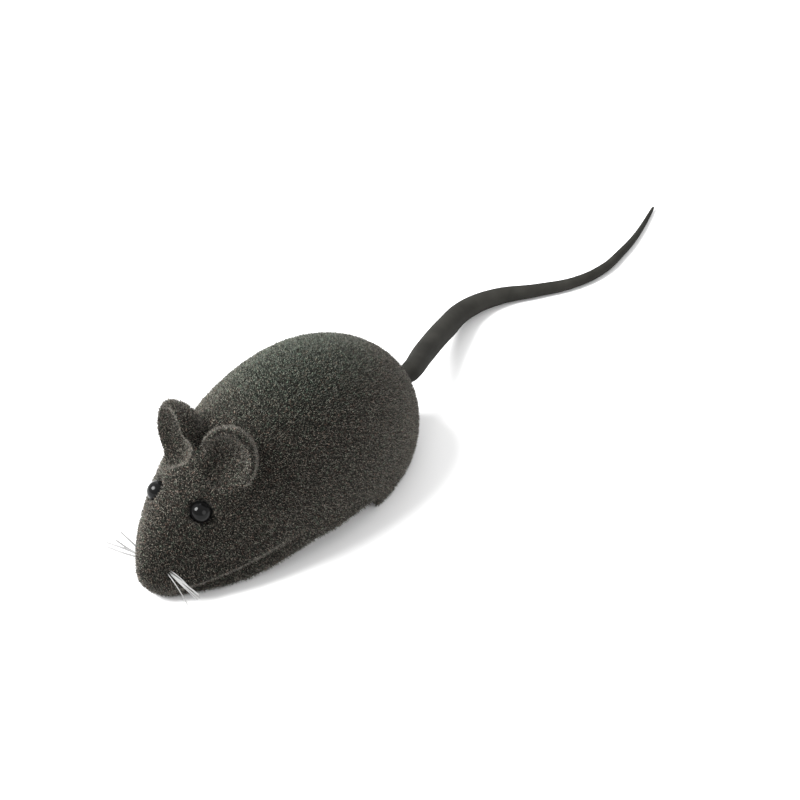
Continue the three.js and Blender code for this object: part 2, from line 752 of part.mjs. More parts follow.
// The flanged bush that lines the key's hole in the shell.
function keyBush() {
  const { bore, neck, flange, lip } = KEY_BUSH;
  const face = KEY_PAD.face - FIT;
  return turnedY(
    [
      [bore, face - lip],
      [flange, face - lip],
      [flange, face],
      [neck, face],
      [neck, face + 2],
      [bore, face + 2],
      [bore, face - lip],
    ],
    ARBOR,
    18,
  );
}

// ---------------------------------------------------------------- steering fork
function frontFork() {
  const inner = FORK.wheelHalf + 0.2;
  const outer = inner + 0.6;
  const web = FORK.wheelRadius * 2 + 0.5;
  const back = FORK_WHEEL.x - 1.3;
  let fork = box(back, FORK.x + 1.9, -outer, outer, web, web + 0.7);
  for (const side of [1, -1]) {
    const [a, b] = [side * inner, side * outer].sort((p, q) => p - q);
    const arm = [
      [back, 3],
      [back + 0.6, 2.2],
      [back + 2, 2.2],
      [back + 2.6, 3],
      [FORK.x + 1.2, web],
      [FORK.x + 1.2, web + 0.7],
      [back, web + 0.7],
    ];
    fork = fork.add(plateXZ(arm, a, b));
  }
  fork = fork.subtract(rodY(0.5 + 0.03, -FAR, FAR, FORK_WHEEL, 12));
  return fork.subtract(rodZ(FORK_PIN + 0.03, 0, FAR, [FORK.x, 0], 14));
}

// The rivet that hangs the fork from the turret's roof.
function forkRivet() {
  const web = FORK.wheelRadius * 2 + 0.5;
  return turnedZ(
    [
      [0, web - 0.35],
      [1.4, web - 0.35],
      [1.4, web - 0.05],
      [FORK_PIN, web - 0.05],
      [FORK_PIN, TURRET.top + 0.1],
      [1.7, TURRET.top + 0.1],
      [1.3, TURRET.top + 0.7],
      [0, TURRET.top + 0.7],
    ],
    [FORK.x, 0],
    14,
  );
}

const frontWheel = () =>
  turnedY(
    [
      [0.6, -FORK.wheelHalf],
      [FORK.wheelRadius - 0.3, -FORK.wheelHalf],
      [FORK.wheelRadius, -FORK.wheelHalf + 0.3],
      [FORK.wheelRadius, FORK.wheelHalf - 0.3],
      [FORK.wheelRadius - 0.3, FORK.wheelHalf],
      [0.6, FORK.wheelHalf],
      [0.6, -FORK.wheelHalf],
    ],
    FORK_WHEEL,
    18,
  );

// ---------------------------------------------------------------- assembly
const toy = new THREE.Group();
const add = (name, body, material) => {
  const mesh = new THREE.Mesh(geometryOf(body), material);
  mesh.name = name;
  toy.add(mesh);
};

add("body_shell", bodyShell(), FLOCK);
add("tail", tail(), RUBBER);
for (const [side, hand] of [[1, "left"], [-1, "right"]]) {
  add(`eye_${hand}`, eye(side), BLACK_BEAD);
  add(`whiskers_${hand}`, whiskers(side), NYLON);
  add(`motor_plate_${hand}`, motorPlate(side), STEEL);
  add(`motor_screw_${hand}`, motorScrew(side), STEEL);
  add(`drive_wheel_${hand}`, driveWheel(side), BLACK_PLASTIC);
  add(`tyre_${hand}`, tyre(side), TYRE);
}
add("chassis", chassis(), BLACK_PLASTIC);
for (const [place, at] of Object.entries(BOSSES)) {
  add(`chassis_screw_${place}`, chassisScrew(at), STEEL);
}
for (const [place, at] of Object.entries(PILLARS)) {
  add(`pillar_${place}`, pillar(at), STEEL);
}
add("winding_arbor", arbor(), STEEL);
add("mainspring", mainspring(), SPRING_STEEL);
add("ratchet_wheel", ratchetWheel(), STEEL);
add("click", click(), STEEL);
add("click_pin", clickPin(), BRASS);
add("click_spring", clickSpring(), SPRING_STEEL);
add("great_gear", greatGear(), BRASS);
add("second_arbor", rodY(0.8, -FRAME_OUT - 0.5, FRAME_OUT + 0.5, SECOND, 12), STEEL);
add(
  "second_pinion",
  gear(PINION_TEETH, SECOND_PINION_PHASE, SECOND, ...SECOND_PINION_Y, 0.85),
  BRASS,
);
add("second_gear", gear(SECOND_TEETH, SECOND_PHASE, SECOND, ...SECOND_GEAR_Y, 0.85), BRASS);
add("drive_axle", rodY(1, -WHEEL.outer + 1.1, WHEEL.outer - 1.1, AXLE, 12), STEEL);
add("axle_pinion", gear(PINION_TEETH, AXLE_PHASE, AXLE, ...AXLE_PINION_Y, 1.05), BRASS);
add("winding_key", windingKey(), KEY_METAL);
add("key_bush", keyBush(), BLACK_PLASTIC);
add("front_fork", frontFork(), STEEL);
add("fork_rivet", forkRivet(), STEEL);
add("front_wheel", frontWheel(), BLACK_PLASTIC);
add("front_axle", rodY(0.5, -2.4, 2.4, FORK_WHEEL, 12), STEEL);

toy.position.set(ORIGIN_SHIFT.x, ORIGIN_SHIFT.y, 0);

export default toy;
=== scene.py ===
"""Looks of the clockwork mouse: a flocked vinyl shell, bead eyes, nylon whiskers, a rubber tail, and
the wheels, chassis and key of its spring motor.

Shapes are laid out in millimetres about the middle of the body, with +X to the snout, +Y to the
mouse's left and the floor at z = 0. ORIGIN and MM place them in the frame.
"""
import json
import math

import bmesh
import bpy
import numpy as np
from mathutils import Matrix, Vector


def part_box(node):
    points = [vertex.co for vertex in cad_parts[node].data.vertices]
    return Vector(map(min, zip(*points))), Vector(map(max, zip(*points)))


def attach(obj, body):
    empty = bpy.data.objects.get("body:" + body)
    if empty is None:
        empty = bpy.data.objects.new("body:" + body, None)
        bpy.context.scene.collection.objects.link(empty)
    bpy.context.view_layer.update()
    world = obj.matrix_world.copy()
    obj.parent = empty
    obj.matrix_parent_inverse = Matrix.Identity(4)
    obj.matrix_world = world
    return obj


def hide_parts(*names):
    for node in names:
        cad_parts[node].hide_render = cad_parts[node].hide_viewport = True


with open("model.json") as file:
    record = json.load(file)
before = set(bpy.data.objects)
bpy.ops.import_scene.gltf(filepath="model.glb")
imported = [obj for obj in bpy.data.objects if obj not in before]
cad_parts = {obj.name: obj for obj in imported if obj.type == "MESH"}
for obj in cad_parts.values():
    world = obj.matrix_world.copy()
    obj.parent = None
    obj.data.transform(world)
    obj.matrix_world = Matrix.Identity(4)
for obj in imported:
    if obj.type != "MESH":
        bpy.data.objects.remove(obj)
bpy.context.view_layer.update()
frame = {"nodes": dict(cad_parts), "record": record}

MM = 0.001
RNG = np.random.default_rng(7)


def datum():
    """The point of the floor under the middle of the body."""
    low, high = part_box("body_shell")
    right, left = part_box("tyre_right")[0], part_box("tyre_left")[1]
    return Vector(((low.x + high.x) / 2, (right.y + left.y) / 2, 0))


ORIGIN = datum()


def centre(node):
    """Middle of a CAD node's box, in millimetres about the body's middle."""
    low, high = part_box(node)
    return ((low + high) / 2 - ORIGIN) / MM


# ---------------------------------------------------------------- driving dimensions
# The body is a loft along X. Each list holds Bezier control values, rump first, snout last.
BODY_LENGTH = 70
HALF_WIDTH = [9.8, 15.6, 16.7, 15.8, 14.2, 11, 4.4]
BACK_RISE = [15.6, 23, 24.9, 22.5, 18, 13.1, 7.5]
BELLY_DROP = [8.4, 15.2, 18.3, 18, 13.6]
SPINE_Z = [2.3, 8.4, 9.8, 6.3]
UPPER_POWER = 2.1  # superellipse power of a section above the spine line
LOWER_POWER = 2.6
SHELL_WALL = 1.5
FLOCK_DEPTH = 0.22  # the fibres stand this far out of the moulding
# Height of the shell's lower edge along the body.
RIM_X = [-35, -10.3, -8.8, 7, 19, 28, 28.5, 35]
RIM_Z = [0.4, 0.4, 3.2, 3.2, 0.5, 0.5, 0.4, 0.4]
RIM_BLEND = 0.5
# The jaw is a ridge over the chest, which is hollowed under it. The ridge drops towards the
# chin. It shows fully between the middle two of JAW_X and fades out towards the others.
JAW = {"chin": 27.7, "z": 3.1, "slope": 0.2}
JAW_X = [9, 20, 28, 31.5]
JAW_RIDGE = {"proud": 0.8, "fade": 2.9, "round": 1.4}
JAW_HOLLOW = {"deep": 1.05, "fade": 1.7, "rest": 0.15}

# An ear is the back of an ellipsoid cut off at its rim and hollowed by a second one, its cup.
EAR_AT = (20.15, 6.4, 23.5)
EAR_TURN = {"toe": 26, "lean": 10, "splay": 8}  # degrees
EAR_BACK = (6.1, 5.15, 6.15)
EAR_CUP = (4.2, 4.4, 5.2)
EAR_CUP_EDGE = (2.2, 0.9)  # rounding of the cup's edge at its foot and from its middle up
EAR_RIM = {"ahead": 0.75, "round": 1.6}  # ahead: from the ellipsoid's middle to its rim
EAR_CUP_SKEW = 0.5  # how fast the cup leans up and out towards its mouth
EAR_ROOT = 1.8  # blend of the ear into the head

EYE_RADIUS = 1.8
EYE_WALL = 1.4  # moulding kept behind an eye
SOCKET_RADIUS = 1.98
SOCKET_BLEND = 1.1
KEY_PAD = {"radius": 3.8, "outer": -15.2, "inner": -8.2, "blend": 0.5}
KEY_HOLE = 2.7
TAIL_HOLE = {"radius": 1.45, "z": 8.6, "inner": -28, "blend": 0.3}
BOSSES = [(27.6, 0), (-25.5, 5.2), (-25.5, -5.2)]
BOSS = {"radius": 2.2, "foot": 3.65, "hole": 1, "top": 10}
WHISKER_ROOT = (31.4, 2.9, 7)
WHISKER_PIT = {"out": 0.6, "radius": 0.35, "blend": 0.2}

GRID_LOW = (-36.5, -18.5, -0.8)  # the shell's field is sampled in this box
GRID_HIGH = (36.5, 18.5, 30.6)
GRID_STEP = 0.42
FIBRES_A_SIDE = 46000
FIBRE = {"length": 0.5, "radius": 0.06, "sunk": 0.05}  # sunk: how deep its foot stands
# Directions of the fibres: tilt is their spread and lay their lean towards the rump. A fibre that
# points outwards by less than upright is stood up. scatter is the spread of their shading.
PILE = {"tilt": 0.42, "lay": 0.3, "upright": 0.35, "scatter": 0.4}
FLOOR_GAP = 0.05  # the lowest fibres end this far above the floor


# ---------------------------------------------------------------- fields
def bezier(values, t):
    row = list(values)
    while len(row) > 1:
        row = [a * (1 - t) + b * t for a, b in zip(row, row[1:])]
    return row[0]


def smooth_min(a, b, reach):
    """The lower of two fields, with their crease rounded over the given reach."""
    h = np.maximum(reach - np.abs(a - b), 0) / reach
    return np.minimum(a, b) - h * h * reach / 4


def smooth_max(a, b, reach):
    return -smooth_min(-a, -b, reach)


def as_distance(level, step):
    """A field that is zero on a surface, scaled to be the distance from it nearby."""
    slope = np.sqrt(sum(g * g for g in np.gradient(level, step)))
    return level / np.maximum(slope, 1e-3)


def ellipsoid(x, y, z, radii):
    """About the distance from an ellipsoid round the origin, negative inside."""
    a, b, c = radii
    k = np.sqrt((x / a) ** 2 + (y / b) ** 2 + (z / c) ** 2)
    slope = np.sqrt((x / a**2) ** 2 + (y / b**2) ** 2 + (z / c**2) ** 2)
    return k * (k - 1) / np.maximum(slope, 1e-3)


def body_level(x, y, z):
    """A field that is zero on the plain body form and negative inside it."""
    along = np.clip(x / (BODY_LENGTH / 2), -1, 1)
    t = np.arccos(-along) / math.pi
    up = z - bezier(SPINE_Z, t)
    above = up >= 0
    power = np.where(above, UPPER_POWER, LOWER_POWER)
    reach = np.where(above, bezier(BACK_RISE, t), bezier(BELLY_DROP, t))
    girth = np.abs(y / bezier(HALF_WIDTH, t)) ** power + np.abs(up / reach) ** power
    return girth ** (2 / power) + (x / (BODY_LENGTH / 2)) ** 2 - 1


def ear_fields(x, y, z, side):
    """The solid ear, its cup, and how softly the cup's edge is rounded."""
    turn = (
        Matrix.Rotation(side * math.radians(EAR_TURN["toe"]), 3, "Z")
        @ Matrix.Rotation(-math.radians(EAR_TURN["lean"]), 3, "Y")
        @ Matrix.Rotation(-side * math.radians(EAR_TURN["splay"]), 3, "X")
    )
    dx, dy, dz = x - EAR_AT[0], y - side * EAR_AT[1], z - EAR_AT[2]
    ahead, out, up = [axis[0] * dx + axis[1] * dy + axis[2] * dz for axis in turn.transposed()]
    past_rim = ahead - EAR_RIM["ahead"]
    ear = smooth_max(ellipsoid(ahead, out, up, EAR_BACK), past_rim, EAR_RIM["round"])
    skew = EAR_CUP_SKEW * ahead
    cup = ellipsoid(past_rim, out - side * skew, up - skew, EAR_CUP)
    softness = np.interp(up, (-EAR_CUP[2], 0), EAR_CUP_EDGE)
    return ear, cup, softness


def eye_centre(side):
    """Middle of an eye's bead, from its CAD node: the bead is the front of the node's box."""
    low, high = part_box("eye_left" if side > 0 else "eye_right")
    ahead = (high.x - ORIGIN.x) / MM - EYE_RADIUS
    out = ((high.y if side > 0 else low.y) - ORIGIN.y) / MM - side * EYE_RADIUS
    return Vector((ahead, out, high.z / MM - EYE_RADIUS))


def jaw(x, z):
    """How far the skin lies inside the plain body form, round the jaw's ridge."""
    over = z - JAW["z"] - JAW["slope"] * (JAW["chin"] - x)
    ridge = -JAW_RIDGE["proud"] * np.exp(-((over / JAW_RIDGE["fade"]) ** 2))
    hollow = JAW_HOLLOW["rest"] + JAW_HOLLOW["deep"] * np.exp(-((over / JAW_HOLLOW["fade"]) ** 2))
    side = np.clip(over / JAW_RIDGE["round"] + 0.5, 0, 1)
    shown = np.interp(x, JAW_X, (0, 1, 1, 0))
    return (ridge * side + hollow * (1 - side)) * shown


def shell_field(x, y, z, step):
    """The moulded shell, and where its outside is nearer than its cavity."""
    body = as_distance(body_level(x, y, z), step)
    skin = body
    cups = []
    for side in (1, -1):
        ear, cup, softness = ear_fields(x, y, z, side)
        skin = smooth_min(skin, ear, EAR_ROOT)
        cups.append((cup, softness))
    skin = skin + jaw(x, z) + FLOCK_DEPTH
    hollow = body + SHELL_WALL + FLOCK_DEPTH
    for cup, softness in cups:
        skin = smooth_max(skin, -cup, softness)
        hollow = np.maximum(hollow, 1 - cup)
    for side in (1, -1):
        ex, ey, ez = eye_centre(side)
        from_eye = np.sqrt((x - ex) ** 2 + (y - ey) ** 2 + (z - ez) ** 2)
        hollow = np.maximum(hollow, EYE_RADIUS + EYE_WALL - from_eye)
        skin = smooth_max(skin, SOCKET_RADIUS - from_eye, SOCKET_BLEND)
        px, py, pz = WHISKER_ROOT
        py = side * (py + WHISKER_PIT["out"])
        from_pit = np.sqrt((x - px) ** 2 + (y - py) ** 2 + (z - pz) ** 2)
        skin = smooth_max(skin, WHISKER_PIT["radius"] - from_pit, WHISKER_PIT["blend"])
    for bx, by in BOSSES:
        boss = np.maximum(np.hypot(x - bx, y - by) - BOSS["radius"], BOSS["foot"] - z)
        hollow = np.maximum(hollow, -boss)
    shell = np.maximum(skin, -hollow)
    for bx, by in BOSSES:
        hole = np.maximum(np.hypot(x - bx, y - by) - BOSS["hole"], z - BOSS["top"])
        shell = np.maximum(shell, -hole)

    key = centre("key_bush")
    from_key = np.hypot(x - key.x, z - key.z)
    pad = np.maximum(from_key - KEY_PAD["radius"], KEY_PAD["outer"] - y)
    pad = np.maximum(pad, y - KEY_PAD["inner"])
    shell = smooth_min(shell, pad, KEY_PAD["blend"])
    shell = np.maximum(shell, np.minimum(KEY_HOLE - from_key, -KEY_PAD["inner"] - y))
    tail = np.hypot(y, z - TAIL_HOLE["z"]) - TAIL_HOLE["radius"]
    tail = np.maximum(tail, x - TAIL_HOLE["inner"])
    shell = smooth_max(shell, -tail, TAIL_HOLE["blend"])
    shell = smooth_max(shell, np.interp(x, RIM_X, RIM_Z) - z, RIM_BLEND)
    return shell, np.abs(skin) < np.abs(hollow)


# ---------------------------------------------------------------- mesh tools
SHARP_TURNED = math.radians(35)  # edges sharper than this stay sharp in the shading
SHARP_BEVELLED = math.radians(32)
BEVEL_FROM = math.radians(28)  # edges flatter than this are facets of a round face
CORNERS = np.array([(i, j, k) for i in (0, 1) for j in (0, 1) for k in (0, 1)])
CELL_EDGES = [
    (a, b)
    for a in range(8)
    for b in range(a + 1, 8)
    if np.abs(CORNERS[a] - CORNERS[b]).sum() == 1
]


def surface_net(field):
    """Points, in grid steps, and quads of the zero surface: one point in each cell it crosses."""
    inside = field < 0
    cells = tuple(n - 1 for n in field.shape)
    count = np.zeros(cells, int)
    for i, j, k in CORNERS:
        count += inside[i : i + cells[0], j : j + cells[1], k : k + cells[2]]
    crossed = (count > 0) & (count < 8)
    where = np.argwhere(crossed)
    index = np.full(cells, -1)
    index[crossed] = np.arange(len(where))

    value = [field[tuple((where + corner).T)] for corner in CORNERS]
    total = np.zeros((len(where), 3))
    hits = np.zeros(len(where))
    for a, b in CELL_EDGES:
        cross = (value[a] < 0) != (value[b] < 0)
        span = np.where(cross, value[a] - value[b], 1)
        share = np.where(cross, value[a] / span, 0)
        point = CORNERS[a] + share[:, None] * (CORNERS[b] - CORNERS[a])
        total += np.where(cross[:, None], point, 0)
        hits += cross
    points = where + total / hits[:, None]

    quads = []
    for axis in range(3):
        u, v = np.eye(3, dtype=int)[[(axis + 1) % 3, (axis + 2) % 3]]
        low = np.take(inside, range(inside.shape[axis] - 1), axis)
        high = np.take(inside, range(1, inside.shape[axis]), axis)
        at = np.argwhere(low != high)
        loop = [index[tuple((at - step).T)] for step in (u + v, v, 0 * u, u)]
        quad = np.stack(loop, 1)
        outward = low[tuple(at.T)]
        quad[~outward] = quad[~outward][:, ::-1]
        quads.append(quad)
    return points, np.concatenate(quads)


def relaxed(points, quads, rounds):
    """Taubin smoothing: takes the steps out of the surface and keeps its size."""
    pairs = np.concatenate([quads[:, [i, (i + 1) % 4]] for i in range(4)])
    ends = np.concatenate([pairs, pairs[:, ::-1]])
    links = np.bincount(ends[:, 0], minlength=len(points))[:, None]
    for _ in range(rounds):
        for share in (0.5, -0.53):
            mean = np.stack(
                [
                    np.bincount(ends[:, 0], points[ends[:, 1], axis], len(points))
                    for axis in range(3)
                ],
                1,
            )
            points = points + share * (mean / links - points)
    return points


def place(points):
    """Millimetres about the body's middle into the frame's metres."""
    return np.asarray(points) * MM + np.array(ORIGIN)


def new_object(name, points, faces, materials, body):
    """A piece from points in millimetres, riding on a body."""
    mesh = bpy.data.meshes.new(name)
    mesh.from_pydata(place(points).tolist(), [], np.asarray(faces).tolist())
    return finish_object(name, mesh, materials, body)


def finish_object(name, mesh, materials, body):
    """A smoothly shaded piece from a mesh that is already in place, riding on a body."""
    piece = bpy.data.objects.new(name, mesh)
    bpy.context.scene.collection.objects.link(piece)
    for each in materials:
        mesh.materials.append(each)
    mesh.polygons.foreach_set("use_smooth", [True] * len(mesh.polygons))
    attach(piece, body)
    return piece


def turned(name, profile, at, axis, materials, body, sides=96, shape=None):
    """A turned piece: profile is (radius, along) pairs round a closed loop or from axis to axis.

    shape(radius, angle) may change the radius round the piece.
    """
    axis = Vector(axis).normalized()
    side = axis.orthogonal().normalized()
    other = axis.cross(side)
    work = bmesh.new()
    rings = []
    closed = profile[0] == profile[-1]
    for radius, along in profile[:-1] if closed else profile:
        spot = Vector(at) + axis * along
        if radius < 1e-6:
            rings.append([work.verts.new(spot)])
            continue
        ring = []
        for j in range(sides):
            angle = 2 * math.pi * j / sides
            reach = shape(radius, angle) if shape else radius
            offset = side * math.cos(angle) + other * math.sin(angle)
            ring.append(work.verts.new(spot + offset * reach))
        rings.append(ring)
    pairs = list(zip(rings, rings[1:] + rings[:1] if closed else rings[1:]))
    for a, b in pairs:
        for j in range(sides):
            k = (j + 1) % sides
            loop = [a[j % len(a)], a[k % len(a)], b[k % len(b)], b[j % len(b)]]
            unique = list(dict.fromkeys(loop))
            if len(unique) > 2:
                work.faces.new(unique)
    bmesh.ops.recalc_face_normals(work, faces=work.faces)
    for vert in work.verts:
        vert.co = Vector(place(vert.co))
    mesh = bpy.data.meshes.new(name)
    work.to_mesh(mesh)
    work.free()
    piece = finish_object(name, mesh, materials, body)
    mesh.set_sharp_from_angle(angle=SHARP_TURNED)
    return piece


def tube(name, lines, materials, body, sides=12, resolution=8):
    """Round strands: each line is a list of (x, y, z, radius), joined by smooth curves."""
    curve = bpy.data.curves.new(name, "CURVE")
    curve.dimensions = "3D"
    curve.bevel_depth = MM
    curve.bevel_resolution = sides // 4
    curve.resolution_u = resolution
    curve.use_fill_caps = True
    for line in lines:
        spline = curve.splines.new("BEZIER")
        spline.bezier_points.add(len(line) - 1)
        for point, (x, y, z, radius) in zip(spline.bezier_points, line):
            point.co = place((x, y, z))
            point.radius = radius
            point.handle_left_type = point.handle_right_type = "AUTO"
    holder = bpy.data.objects.new(name + "_curve", curve)
    bpy.context.scene.collection.objects.link(holder)
    evaluated = holder.evaluated_get(bpy.context.evaluated_depsgraph_get())
    mesh = bpy.data.meshes.new_from_object(evaluated)
    bpy.data.objects.remove(holder)
    mesh.name = name
    mesh.materials.clear()
    return finish_object(name, mesh, materials, body)


def bevelled(node, name, materials, body, width, segments=2):
    """A copy of a CAD node with its edges rounded over, which stands for the node."""
    mesh = frame["nodes"][node].data.copy()
    mesh.materials.clear()
    mesh.name = name
    work = bmesh.new()
    work.from_mesh(mesh)
    bmesh.ops.remove_doubles(work, verts=work.verts, dist=MM * 0.002)
    bmesh.ops.dissolve_limit(
        work, angle_limit=math.radians(0.8), verts=work.verts, edges=work.edges
    )
    edges = [
        e
        for e in work.edges
        if len(e.link_faces) == 2 and e.calc_face_angle(0) > BEVEL_FROM
    ]
    bmesh.ops.bevel(
        work,
        geom=edges,
        offset=width * MM,
        offset_type="OFFSET",
        segments=segments,
        profile=0.5,
        affect="EDGES",
        clamp_overlap=True,
    )
    bmesh.ops.triangulate(work, faces=[f for f in work.faces if len(f.verts) > 4])
    work.to_mesh(mesh)
    work.free()
    piece = finish_object(name, mesh, materials, body)
    mesh.set_sharp_from_angle(angle=SHARP_BEVELLED)
    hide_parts(node)
    return piece


# ---------------------------------------------------------------- materials
def principled(name, colour, roughness, metallic=0.0, **sockets):
    """A material with a Principled shader: itself, its nodes, its links and the shader."""
    made = bpy.data.materials.new(name)
    made.use_nodes = True
    shader = made.node_tree.nodes["Principled BSDF"]
    shader.inputs["Base Color"].default_value = (*colour, 1)
    shader.inputs["Roughness"].default_value = roughness
    shader.inputs["Metallic"].default_value = metallic
    for socket, value in sockets.items():
        shader.inputs[socket.replace("_", " ")].default_value = value
    return made, made.node_tree.nodes, made.node_tree.links, shader


def noise(nodes, links, size, detail=2.0, stretch=None):
    """3-D noise in the frame's own place, with features of about the given size in mm."""
    spot = nodes.new("ShaderNodeTexCoord").outputs["Object"]
    if stretch:
        mapping = nodes.new("ShaderNodeMapping")
        mapping.inputs["Scale"].default_value = stretch
        links.new(spot, mapping.inputs["Vector"])
        spot = mapping.outputs["Vector"]
    made = nodes.new("ShaderNodeTexNoise")
    made.inputs["Scale"].default_value = 1 / (size * MM)
    made.inputs["Detail"].default_value = detail
    links.new(spot, made.inputs["Vector"])
    return made


def ramp(nodes, links, source, stops):
    """A colour ramp: stops are (position, grey or colour) pairs."""
    made = nodes.new("ShaderNodeValToRGB")
    elements = made.color_ramp.elements
    while len(elements) < len(stops):
        elements.new(0.5)
    for element, (position, colour) in zip(elements, stops):
        element.position = position
        value = colour if hasattr(colour, "__len__") else (colour,) * 3
        element.color = (*value, 1)
    links.new(source, made.inputs["Fac"])
    return made.outputs["Color"]


def map_range(nodes, links, source, low, high):
    """A value that runs from 0 at low to 1 at high."""
    made = nodes.new("ShaderNodeMapRange")
    made.inputs["From Min"].default_value = low
    made.inputs["From Max"].default_value = high
    links.new(source, made.inputs["Value"])
    return made.outputs["Result"]


def bump(nodes, links, shader, source, strength, depth):
    """Bumps of about the given depth in mm on a shader."""
    made = nodes.new("ShaderNodeBump")
    made.inputs["Strength"].default_value = strength
    made.inputs["Distance"].default_value = depth * MM
    links.new(source, made.inputs["Height"])
    links.new(made.outputs["Normal"], shader.inputs["Normal"])


def multiply(nodes, links, a, b):
    made = nodes.new("ShaderNodeMix")
    made.data_type = "RGBA"
    made.blend_type = "MULTIPLY"
    made.inputs["Factor"].default_value = 1
    links.new(a, made.inputs["A"])
    links.new(b, made.inputs["B"])
    return made.outputs["Result"]


FLOCK_GRAIN = 0.22  # mm
FLOCK_FLECKS = 0.5
CROWN_Z = (21, 29)  # over these heights, and over these places along the body,
CROWN_X = (16, 4)  # the pile turns from a faintly warm grey to a faintly green one


def flock(name, dark, middle, light):
    """Short dark fibres: a fine grey speckle with faint brown and green flecks, and a sheen."""
    made, nodes, links, shader = principled(
        name,
        (middle,) * 3,
        0.9,
        Sheen_Weight=0.17,
        Sheen_Roughness=0.36,
        Specular_IOR_Level=0.05,
    )
    grain = noise(nodes, links, FLOCK_GRAIN, 1)
    speckle = ramp(
        nodes,
        links,
        grain.outputs["Fac"],
        [(0.42, dark), (0.54, middle), (0.64, light)],
    )
    flecks = noise(nodes, links, FLOCK_FLECKS, 1)
    tint = ramp(
        nodes,
        links,
        flecks.outputs["Fac"],
        [
            (0.34, (1, 0.76, 0.66)),
            (0.44, (1, 0.98, 0.9)),
            (0.56, (1, 0.98, 0.9)),
            (0.66, (0.8, 1, 0.84)),
        ],
    )
    spot = nodes.new("ShaderNodeSeparateXYZ")
    links.new(nodes.new("ShaderNodeTexCoord").outputs["Object"], spot.inputs["Vector"])
    crown = map_range(nodes, links, spot.outputs["Z"], *[z * MM for z in CROWN_Z])
    behind = map_range(nodes, links, spot.outputs["X"], *[ORIGIN.x + x * MM for x in CROWN_X])
    both = nodes.new("ShaderNodeMath")
    both.operation = "MULTIPLY"
    links.new(crown, both.inputs[0])
    links.new(behind, both.inputs[1])
    patches = ramp(
        nodes,
        links,
        both.outputs["Value"],
        [(0, (1.0, 0.95, 0.87)), (1, (0.9, 1.0, 0.88))],
    )
    colour = multiply(nodes, links, speckle, tint)
    colour = multiply(nodes, links, colour, patches)
    links.new(colour, shader.inputs["Base Color"])
    links.new(patches, shader.inputs["Sheen Tint"])
    bump(nodes, links, shader, grain.outputs["Fac"], 0.6, 0.12)
    return made


WEAR = 6  # mm
BRUSHING = 1.6
ACROSS_BRUSHING = (1, 14, 14)  # how much finer it is across its own direction, X
MOTTLE = 3


def plastic(name, colour, roughness, grain=0.35, depth=0.03, specular=0.4):
    """Moulded plastic or rubber with a fine satin texture and faint wear."""
    made, nodes, links, shader = principled(
        name, colour, roughness, Specular_IOR_Level=specular
    )
    texture = noise(nodes, links, grain, 2)
    wear = noise(nodes, links, WEAR, 4)
    low, high = tuple(c * 0.75 for c in colour), tuple(min(c * 1.3 + 0.004, 1) for c in colour)
    tone = ramp(nodes, links, wear.outputs["Fac"], [(0.35, low), (0.7, high)])
    links.new(tone, shader.inputs["Base Color"])
    rough = ramp(
        nodes,
        links,
        wear.outputs["Fac"],
        [(0.3, max(roughness - 0.08, 0)), (0.7, min(roughness + 0.1, 1))],
    )
    links.new(rough, shader.inputs["Roughness"])
    bump(nodes, links, shader, texture.outputs["Fac"], 0.5, depth)
    return made


def metal(name, colour, roughness):
    """Rolled or turned metal: fine brushing, with softly mottled gloss."""
    made, nodes, links, shader = principled(name, colour, roughness, 1.0)
    brushing = noise(nodes, links, BRUSHING, 3, ACROSS_BRUSHING)
    mottle = noise(nodes, links, MOTTLE, 3)
    tone = ramp(
        nodes,
        links,
        mottle.outputs["Fac"],
        [(0.3, tuple(c * 0.8 for c in colour)), (0.7, colour)],
    )
    links.new(tone, shader.inputs["Base Color"])
    rough = ramp(
        nodes,
        links,
        brushing.outputs["Fac"],
        [(0.3, roughness * 0.7), (0.7, min(roughness * 1.4, 1))],
    )
    links.new(rough, shader.inputs["Roughness"])
    bump(nodes, links, shader, brushing.outputs["Fac"], 0.25, 0.01)
    return made


FLOCK = flock("flock_base", 0.002, 0.008, 0.03)
# Painted light: the fibres' copy of the flock is painted lighter than the moulding's, standing in
# for light caught on the fibres' tips.
LIT_FIBRES = flock("flock_fibres_lit", 0.004, 0.024, 0.2)
VINYL = plastic("bare_vinyl", (0.03, 0.03, 0.028), 0.5)
BEAD = plastic("black_bead", (0.002, 0.002, 0.002), 0.14, grain=2, depth=0.001, specular=0.12)
NYLON = plastic("nylon", (0.19, 0.19, 0.187), 0.4, grain=0.1, depth=0.002)
TAIL_RUBBER = plastic(
    "tail_rubber", (0.014, 0.0135, 0.0115), 0.8, grain=0.25, depth=0.02, specular=0.08
)
BLACK_PLASTIC = plastic("chassis_plastic", (0.012, 0.012, 0.012), 0.6)
TYRE_RUBBER = plastic("tyre_rubber", (0.012, 0.012, 0.012), 0.75, grain=0.2, depth=0.03)
PLATE_STEEL = metal("plate_steel", (0.38, 0.385, 0.39), 0.34)
SCREW_STEEL = metal("screw_steel", (0.36, 0.36, 0.37), 0.28)
SPRING_STEEL = metal("spring_steel", (0.12, 0.17, 0.28), 0.3)
BRASS = metal("gear_brass", (0.72, 0.5, 0.2), 0.28)
KEY_STEEL = metal("key_nickel", (0.27, 0.265, 0.25), 0.26)

SLOT_MATERIAL = {
    "flocked_vinyl": FLOCK,
    "eye_bead": BEAD,
    "whisker_nylon": NYLON,
    "tail_rubber": TAIL_RUBBER,
    "chassis_plastic": BLACK_PLASTIC,
    "plate_steel": PLATE_STEEL,
    "screw_steel": SCREW_STEEL,
    "spring_steel": SPRING_STEEL,
    "gear_brass": BRASS,
    "tyre_rubber": TYRE_RUBBER,
    "key_steel": KEY_STEEL,
}


